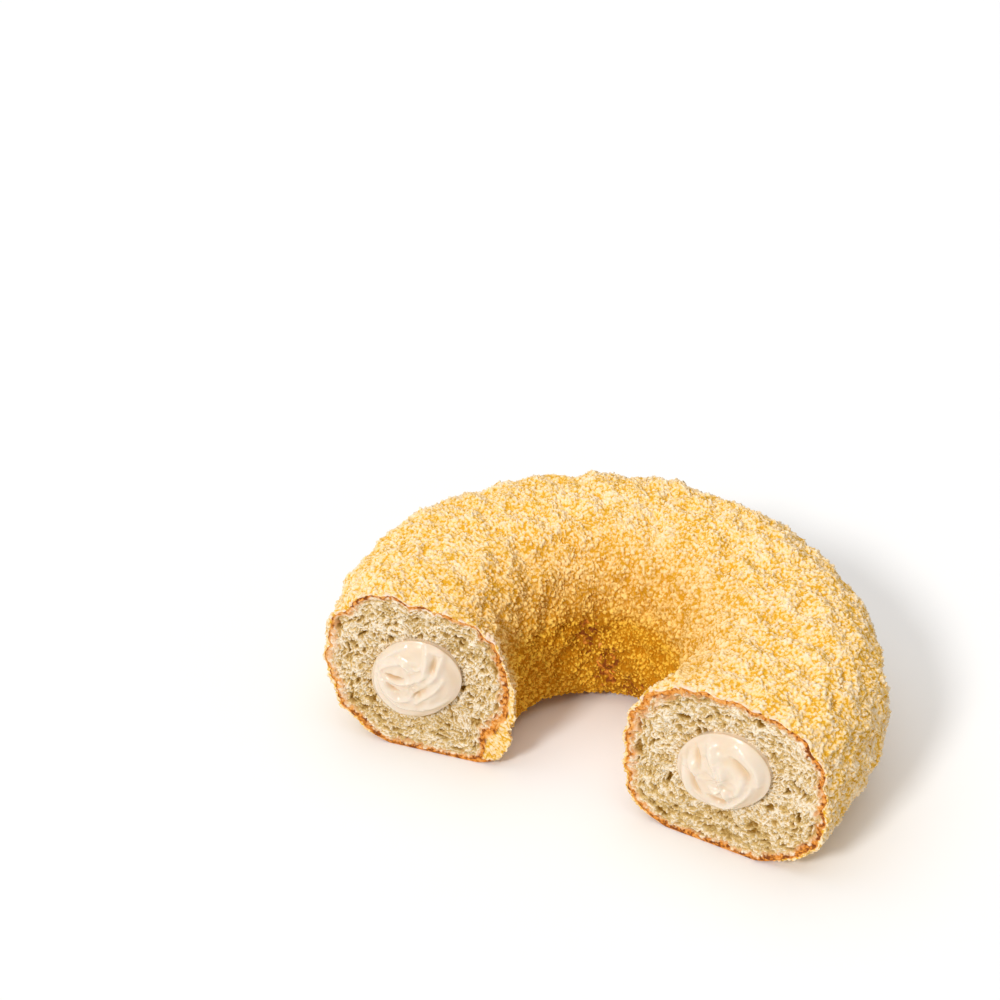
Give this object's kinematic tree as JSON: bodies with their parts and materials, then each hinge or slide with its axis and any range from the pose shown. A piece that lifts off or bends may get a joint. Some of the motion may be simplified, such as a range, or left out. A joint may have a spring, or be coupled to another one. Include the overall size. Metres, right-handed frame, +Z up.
{
  "type": "castella ring doughnut",
  "caption": "Cut piece of a ring doughnut coated in castella cake crumbs, with cream filling showing in both cut faces; it lies flat on its base.",
  "frame": {"origin": "bottom centre of the whole piece's box, on the flat underside's plane", "axes": "+Z up along the ring's axis, +X along the ring's width from the left arm to the right arm, -Y the way the two cut faces look"},
  "size_m": [0.0974, 0.0635, 0.034],
  "materials": {
    "crumbed_bread": "matte",
    "cream": "satin"
  },
  "bodies": {
    "root": {"doughnut": "crumbed_bread", "cream": "cream"}
  },
  "joints": []
}
